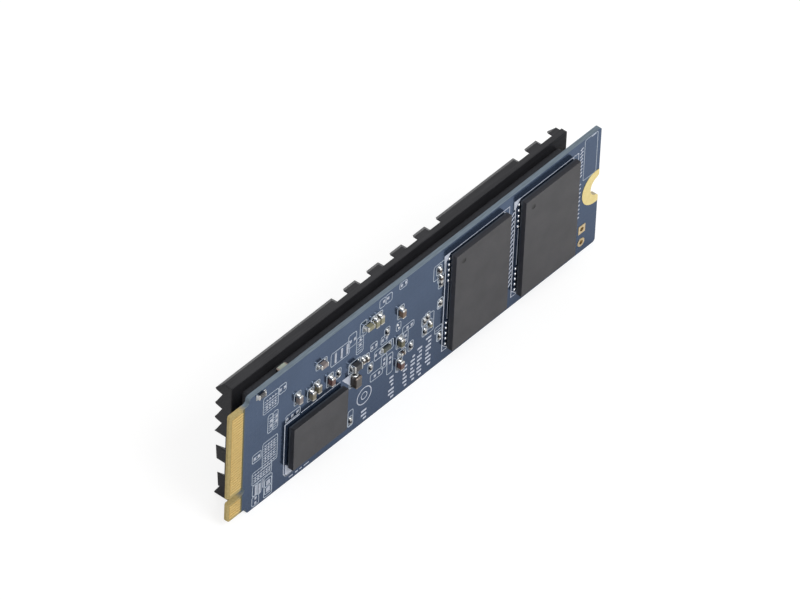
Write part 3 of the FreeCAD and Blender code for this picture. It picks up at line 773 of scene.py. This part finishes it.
def pad_domes():
    bm = bmesh.new()
    for low, high in islands("footprint_pads"):
        step = min(high.x - low.x, high.z - low.z) * PAD_DOME_STEP
        rings = []
        for share, rise in PAD_DOME_RINGS:
            cut = step * share
            top = low.y - rise * PAD_DOME_HEIGHT * MM
            rings.append([Vector((x, top, z)) for x, z in (
                (low.x + cut, low.z + cut), (high.x - cut, low.z + cut),
                (high.x - cut, high.z - cut), (low.x + cut, high.z - cut))])
        skin(bm, rings)
    settle(to_object(bm, "footprint_solder", [TIN]), "tin")


# Round domes on the row of test pads beside each flash package, and on the smallest pads

TEST_DOME_HEIGHT = 0.14
DOME_SIDES = 12
# Rings of a dome, as shares of its radius and of its height
DOME_RINGS = ((0.98, 0.0), (0.94, 0.35), (0.78, 0.7), (0.5, 0.92), (0.15, 1.0))
SMALL_PADS = ((35.85, 13.95), (36.1, 13.3), (44.85, 11.35), (45.35, 11.5), (44.85, 12.1),
              (45.35, 12.25))
SMALL_PAD_RADIUS = 0.18
SMALL_DOME_HEIGHT = 0.06


def dome(bm, centre, radius, height):
    skin(bm, [[centre + Vector((dx * wide * radius, -rise * height, dz * wide * radius))
               for dx, dz in circle(0, 0, 1, DOME_SIDES)] for wide, rise in DOME_RINGS])


def round_domes():
    bm = bmesh.new()
    for low, high in islands("flash_test_pads"):
        centre = (low + high) / 2
        centre.y = low.y
        dome(bm, centre, (high.x - low.x) / 2, TEST_DOME_HEIGHT * MM)
    for l, w in SMALL_PADS:
        dome(bm, place(l, w, 0), SMALL_PAD_RADIUS * MM, SMALL_DOME_HEIGHT * MM)
    settle(to_object(bm, "test_pad_solder", [DOME], True), "tin")


# Round solder balls, in place of the plain square posts

BALL_SIDES = 10
# A ball's radius as a share of half a post's diagonal, and its rings as shares of both sizes
BALL_SHARE = 0.98
BALL_PROFILE = ((0.0, 0.78), (0.22, 0.95), (0.5, 1.0), (0.78, 0.95), (1.0, 0.78))
BALL_NODES = ("flash_front_balls", "flash_rear_balls", "memory_front_balls",
              "memory_rear_balls", "controller_balls")


def ball_grids():
    for node in BALL_NODES:
        bm = bmesh.new()
        for low, high in islands(node):
            centre = (low + high) / 2
            radius = (high.x - low.x) / 2 * math.sqrt(2) * BALL_SHARE
            skin(bm, [[Vector((x, low.y + share * (high.y - low.y), z))
                       for x, z in circle(centre.x, centre.z, wide * radius, BALL_SIDES)]
                      for share, wide in BALL_PROFILE])
        settle(to_object(bm, node + "_round", [SOLDER], True), "solder", node)


# Thermal pad: a soft sheet whose pressed sides bulge, in place of its plain block

BULGE = 0.22
# How sharply the sides turn in towards the pad's two faces
BULGE_POWER = 2.2
PAD_CORNER = 0.6
PAD_CORNER_STEPS = 4
# The sides' unevenness, its size for each millimetre along them, and its inward lean
RIPPLE = 0.03
RIPPLE_SCALE = 0.35
RIPPLE_LEAN = 0.6
PAD_LAYERS = 8
PAD_STEPS = 150


def thermal_pad():
    low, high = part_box("thermal_pad")
    middle = (low + high) / 2
    half = (high - low) / 2
    half_l, half_w = half.x / MM, half.z / MM
    outline = even_steps(rounded_outline(-half_l, -half_w, half_l, half_w, PAD_CORNER,
                                         PAD_CORNER_STEPS), PAD_STEPS)
    rings = []
    for i in range(PAD_LAYERS + 1):
        share = 2 * i / PAD_LAYERS - 1
        ring = []
        for l, w in outline:
            flat_l = max(-half_l + PAD_CORNER, min(half_l - PAD_CORNER, l))
            flat_w = max(-half_w + PAD_CORNER, min(half_w - PAD_CORNER, w))
            out = Vector((l - flat_l, w - flat_w)).normalized()
            wobble = noise.noise(Vector((l * RIPPLE_SCALE, w * RIPPLE_SCALE, share)))
            pull = BULGE * abs(share) ** BULGE_POWER - RIPPLE * (wobble - RIPPLE_LEAN)
            spot = Vector((l, w)) - out * pull
            ring.append(Vector((middle.x + spot.x * MM, middle.y + share * half.y,
                                middle.z + spot.y * MM)))
        rings.append(ring)
    bm = bmesh.new()
    skin(bm, rings)
    piece = to_object(bm, "thermal_pad_soft", [SILICONE], True)
    settle(piece, "thermal_pad", "thermal_pad")


# Legend ink on the front of the board: outlines, marks and ticks

INK_HEIGHT = 0.014
# Marks that cross lie a step apart in height, over so many levels
INK_STEP = 0.0006
INK_LEVELS = 7
# The usual width of a line
LINE = 0.12
# The legend's second material
THIN = 1

# Outlines round empty footprints and pairs of chips, as (l0, w0, l1, w1)
OUTLINES = (
    (7.0, 16.8, 10.15, 19.95), (10.3, 18.4, 11.8, 19.95), (8.1, 12.5, 9.1, 15.9),
    (9.2, 12.5, 10.2, 15.9), (7.15, 6.45, 10.3, 11.15), (5.0, 8.8, 6.85, 10.35),
    (5.1, 4.5, 9.2, 6.9), (5.25, 2.3, 6.3, 4.4), (6.35, 2.0, 7.1, 4.4), (7.85, 2.25, 9.3, 3.7),
    (7.85, 0.85, 9.3, 2.2), (7.7, 0.35, 9.4, 4.3), (5.2, 0.35, 6.65, 2.2),
    (11.95, 11.75, 15.0, 13.05), (21.35, 15.85, 25.3, 18.35), (25.05, 16.8, 26.75, 19.25),
    (26.85, 14.4, 28.3, 17.5), (31.6, 19.95, 32.9, 21.55), (32.95, 19.95, 34.25, 21.55),
    (35.85, 20.65, 37.45, 21.8), (35.5, 12.9, 36.5, 14.4), (27.5, 17.2, 28.9, 20.0),
    (30.0, 12.8, 31.4, 14.15), (32.25, 12.5, 33.55, 13.95), (30.9, 10.35, 35.0, 12.15),
    (30.2, 6.8, 32.85, 8.2), (32.5, 7.7, 33.65, 10.2), (33.8, 5.7, 35.0, 9.55),
    (37.2, 9.0, 38.2, 11.6), (36.9, 11.55, 39.4, 12.7), (41.4, 7.7, 43.8, 11.4),
    (43.35, 17.0, 45.7, 19.8), (44.5, 10.9, 45.75, 12.7), (44.15, 6.35, 45.75, 7.5),
    (44.8, 4.5, 45.8, 6.3), (25.6, 1.3, 26.7, 4.3), (76.35, 14.0, 79.2, 21.8),
)
OUTLINE_ROUNDING = 0.3
OUTLINE_WIDTH = 0.14
# How far an outline stands out from a chip, past its ends and beside it, and how near to the
# board's upper edge it may come
CHIP_OUTLINE_MARGIN = (0.38, 0.3)
EDGE_ROOM = 0.1
# Footprints whose pads stand close, shaded with fine lines
SHADED = (
    (7.0, 16.8, 10.15, 19.95), (8.1, 12.5, 10.2, 15.9), (7.15, 6.45, 10.3, 11.15),
    (5.1, 4.5, 9.2, 6.9), (5.0, 8.8, 6.85, 10.35), (26.85, 14.4, 28.3, 17.5),
    (44.15, 6.35, 45.75, 7.5),
)
SHADE_PITCH = 0.45
SHADE_WIDTH = 0.13
SHADE_INSET = 0.2
# Single lines, each as its points and its width
LINES = (
    (((14.9, 11.5), (11.83, 11.5), (11.83, 2.0), (12.45, 1.35), (14.4, 1.35)), 0.15),
    (((15.2, 11.55), (23.6, 11.55)), 0.1),
    (((35.8, 7.0), (35.8, 4.9), (36.4, 4.6)), 0.14),
    (((7.45, 2.6), (7.45, 4.3)), 0.16),
    (((77.8, 21.65), (78.8, 21.65)), 0.2),
    (((25.35, 11.8), (25.35, 13.5)), 0.12),
)
# Short marks below the memory package, as l and length
LOW_MARKS = ((13.5, 0.9), (14.7, 0.6), (15.6, 0.5), (16.8, 1.1))
LOW_MARK_W = 0.62
LOW_MARK_HEIGHT = 0.2
# Filled marks, each as its corners
FILLED = (
    ((24.0, 11.5), (25.8, 11.5), (25.8, 9.3)),
    ((12.17, 3.67), (12.17, 1.33), (14.33, 1.33)),
)
# The outline of a flash package: how far it stands out from the near, lower, far and upper side
FLASH_MARGINS = (0.95, 0.15, 0.9, 0.27)
FLASH_NEAR_WIDTH = 0.17
# Corners of the filled mark, from the outline's near upper corner
FLASH_CORNER_MARK = ((-0.35, 0.1), (1.05, 0.1), (0.9, -0.2), (0.05, -1.3), (-0.35, -1.4))
# Slanted lines over the far upper corner and the near lower one, as lengths along both sides
FLASH_UPPER_CUT = (1.4, 1.4)
FLASH_LOWER_CUT = (1.3, 1.15)
# The fine line inside the near side: how far in, from and to which w, and its width
FLASH_INNER_LINE = (0.85, 7.6, 14.6, 0.08)
# The middle of the round mark, and its rings as radius, sides and width
ROUND_MARK = (29.0, 5.2)
ROUND_MARK_RINGS = ((1.52, 32, 0.16), (0.62, 20, 0.14))
# Rows of slanted ticks, as the place of the lowest, the slant, the pitch, their count and width
TICKS = (
    ((60.35, 4.3), (0.6, 0.55), 0.85, 17, 0.26),
    ((75.42, 15.1), (0.6, 0.3), 0.66, 9, 0.26),
    ((75.42, 7.2), (0.5, 0.14), 0.8, 9, 0.26),
)
# Rows of plain bars, as l, the lowest and highest w, and the length
BARS = (
    (29.05, 0.75, 2.6, 1.15), (34.95, 0.7, 2.4, 1.2), (34.95, 3.1, 5.2, 0.85),
    (37.9, 0.9, 4.7, 0.85), (39.55, 0.9, 5.7, 0.9), (41.0, 0.8, 6.6, 1.0), (42.9, 1.5, 6.9, 1.15),
)
BAR_PITCH = 0.74
BAR_WIDTH = 0.34
# One bar in three is shorter, by this share
SHORT_BAR = 0.6


class Ink:
    """Draws flat marks on the board, each on the next level of ink."""

    def __init__(self):
        self.bm = bmesh.new()
        self.count = 0

    def top(self):
        self.count += 1
        return INK_HEIGHT + INK_STEP * (self.count % INK_LEVELS)

    def line(self, points, width=LINE, closed=False, material=0):
        stroke(self.bm, points, width, self.top(), closed, material)

    def outline(self, l0, w0, l1, w1):
        points = rounded_outline(l0, w0, l1, w1, OUTLINE_ROUNDING)
        self.line(points, OUTLINE_WIDTH, True, THIN)

    def fill(self, points):
        plate(self.bm, points, self.top())

    def bar(self, l, w, length, height):
        self.fill([(l - length / 2, w - height / 2), (l + length / 2, w - height / 2),
                   (l + length / 2, w + height / 2), (l - length / 2, w + height / 2)])


def flash_marks(ink, low, high):
    """The outline of one flash package, with its marked corners."""
    near, lower, far, upper = FLASH_MARGINS
    l0, w0 = on_board(low)
    l1, w1 = on_board(high)
    l0, w0, l1, w1 = l0 - near, w0 - lower, l1 + far, w1 + upper
    ink.line([(l0, w0), (l1, w0), (l1, w1), (l0, w1)], closed=True)
    ink.line([(l0, w0), (l0, w1)], FLASH_NEAR_WIDTH)
    ink.fill([(l0 + right, w1 + up) for right, up in FLASH_CORNER_MARK])
    back, down = FLASH_UPPER_CUT
    ink.line([(l1 - back, w1), (l1, w1 - down)])
    along, up = FLASH_LOWER_CUT
    ink.line([(l0, w0 + up), (l0 + along, w0)])
    inset, start, end, width = FLASH_INNER_LINE
    ink.line([(l0 + inset, start), (l0 + inset, end)], width)


def round_mark(ink):
    for radius, sides, width in ROUND_MARK_RINGS:
        ink.line(circle(*ROUND_MARK, radius, sides), width, True)


def plain_bars(ink):
    """Bars of uneven length in rows, the shorter ones set to one side and then the other."""
    for l, low, high, length in BARS:
        for i in range(int((high - low) / BAR_PITCH) + 1):
            part = length if i % 3 else length * SHORT_BAR
            ink.bar(l + (length - part) / 2 * (-1) ** i, low + BAR_PITCH * i, part, BAR_WIDTH)


def ticks(ink):
    for (l, w), (run, rise), pitch, count, width in TICKS:
        for i in range(count):
            ink.line([(l, w + pitch * i), (l + run, w + pitch * i + rise)], width)


def shade(ink, l0, w0, l1, w1):
    """Fine level lines that fill a box."""
    for i in range(1, int((w1 - w0) / SHADE_PITCH)):
        w = w0 + i * SHADE_PITCH
        ink.line([(l0 + SHADE_INSET, w), (l1 - SHADE_INSET, w)], SHADE_WIDTH, material=THIN)


def chip_outline(ink, chip):
    """The outline round one chip, where the board's upper edge leaves room for it."""
    lows, highs = zip(*chip.ends)
    l0, w0 = [min(values) for values in zip(*map(on_board, lows))]
    l1, w1 = [max(values) for values in zip(*map(on_board, highs))]
    end, flank = CHIP_OUTLINE_MARGIN
    ml, mw = (end, flank) if chip.axis == 0 else (flank, end)
    if w1 + mw < on_board(BOARD_HIGH)[1] - EDGE_ROOM:
        ink.outline(l0 - ml, w0 - mw, l1 + ml, w1 + mw)


def legend():
    ink = Ink()
    for outline in OUTLINES:
        ink.outline(*outline)
    for points, width in LINES:
        ink.line(points, width)
    for points in FILLED:
        ink.fill(points)
    for box in SHADED:
        shade(ink, *box)
    for l, length in LOW_MARKS:
        ink.bar(l, LOW_MARK_W, length, LOW_MARK_HEIGHT)
    for low, high in FLASH_PACKAGES:
        flash_marks(ink, low, high)
    for chips in CHIPS.values():
        for chip in chips:
            if chip.side == FRONT:
                chip_outline(ink, chip)
    ticks(ink)
    round_mark(ink)
    plain_bars(ink)
    settle(to_object(ink.bm, "legend", [INK, THIN_INK]), "legend_ink")


# Floor and light

FLOOR_SIZE = 12.0
FLOOR_THICKNESS = 0.01
FLOOR_DROP = 0.00001
# The floor's two greys, and the size of its specks in millimetres
FLOOR_SPECKS = ((0.78, 0.78, 0.78), (0.82, 0.82, 0.82))
FLOOR_SPECK_SIZE = 40.0
# Grey and glow of the floor
FLOOR_TO_CAMERA = (0.34, 0.76)
FLOOR_IN_REFLECTIONS = (0.95, 0.18)
WORLD_LIGHT = 0.6
BACKGROUND = 1.0
# Square lamps that face the object: name, place, size, power in watts, and whether a lamp only
# makes highlights
SOFTBOXES = (
    ("key", (0.0, -0.5, 0.55), 0.4, 2.1, False),
    ("rim", (0.5, 0.4, 0.6), 0.2, 0.6, False),
    ("glint", (0.0, -0.35, 0.6), 0.35, 2.4, True),
)


def floor_material():
    """White to the camera and in reflections, and still darker where the object shades it."""
    p = Paint("floor_white")
    path = p.node("ShaderNodeLightPath").outputs
    speck = p.mix(p.noise(FLOOR_SPECK_SIZE), *map(rgb, FLOOR_SPECKS))
    plain = p.node("ShaderNodeBsdfDiffuse", {"Color": speck}).outputs[0]
    whites = []
    for grey, glow in (FLOOR_TO_CAMERA, FLOOR_IN_REFLECTIONS):
        shaded = p.node("ShaderNodeBsdfDiffuse", {"Color": rgb((grey,) * 3)}).outputs[0]
        bright = p.node("ShaderNodeEmission", {"Color": rgb(WHITE), "Strength": glow}).outputs[0]
        whites.append(p.node("ShaderNodeAddShader", {0: shaded, 1: bright}).outputs[0])
    to_camera, reflected = whites
    lit = p.node("ShaderNodeMixShader", {0: p.bounced(path), 1: plain, 2: reflected}).outputs[0]
    seen = p.node("ShaderNodeMixShader", {0: path["Is Camera Ray"], 1: lit, 2: to_camera})
    p.node("ShaderNodeOutputMaterial", {"Surface": seen.outputs[0]})
    return p.material


def stage():
    bm = bmesh.new()
    half = FLOOR_SIZE / 2
    corners = [(-half, -half), (half, -half), (half, half), (-half, half)]
    skin(bm, [[Vector((x, y, z)) for x, y in corners] for z in (-FLOOR_THICKNESS, -FLOOR_DROP)])
    to_object(bm, "floor", [floor_material()])


def world_light():
    """White to the camera and in reflections, and dimmer as a light."""
    world = bpy.data.worlds.new("soft_white")
    bpy.context.scene.world = world
    tree = Tree(world)
    path = tree.node("ShaderNodeLightPath").outputs
    seen = tree.math("MAXIMUM", path["Is Camera Ray"], tree.bounced(path))
    strength = tree.spread(seen, (0.0, 1.0), (WORLD_LIGHT, BACKGROUND))
    background = tree.node("ShaderNodeBackground", {"Color": rgb(WHITE), "Strength": strength})
    tree.node("ShaderNodeOutputWorld", {"Surface": background.outputs[0]})


def softbox(name, place_at, size, power, highlights_only):
    lamp = bpy.data.lights.new(name, "AREA")
    lamp.shape = "SQUARE"
    lamp.size = size
    lamp.energy = power
    box = bpy.data.objects.new(name, lamp)
    bpy.context.scene.collection.objects.link(box)
    box.location = place_at
    box.rotation_mode = "QUATERNION"
    box.rotation_quaternion = (-Vector(place_at)).to_track_quat("-Z", "Y")
    box.visible_diffuse = not highlights_only


# Camera of the photograph: its place, its three directions, and the nearest and farthest that
# it sees. Its lens and sensor are in millimetres.

CAMERA_PLACE = (-0.82496, -0.6592, 1.00217)
CAMERA_RIGHT = (0.6489, -0.7601, 0.0343)
CAMERA_UP = (0.5036, 0.4629, 0.7294)
CAMERA_FORWARD = (0.5703, 0.4561, -0.6832)
CAMERA_RANGE = (0.05, 30.0)
CAMERA_LENS = 464.04
CAMERA_SENSOR = 36.0


def camera():
    data = bpy.data.cameras.new("camera")
    data.lens = CAMERA_LENS
    data.sensor_width = CAMERA_SENSOR
    data.clip_start, data.clip_end = CAMERA_RANGE
    eye = bpy.data.objects.new("camera", data)
    bpy.context.scene.collection.objects.link(eye)
    columns = (Vector(CAMERA_RIGHT), Vector(CAMERA_UP), -Vector(CAMERA_FORWARD))
    turn = Matrix([[column[i] for column in columns] for i in range(3)])
    eye.matrix_world = Matrix.Translation(CAMERA_PLACE) @ turn.to_4x4()
    bpy.context.scene.camera = eye


dress_nodes()
chip_pieces()
solder_piece()
pad_domes()
round_domes()
ball_grids()
thermal_pad()
legend()
stage()
world_light()
for lamp_values in SOFTBOXES:
    softbox(*lamp_values)
camera()
bpy.context.scene.view_settings.view_transform = "Standard"
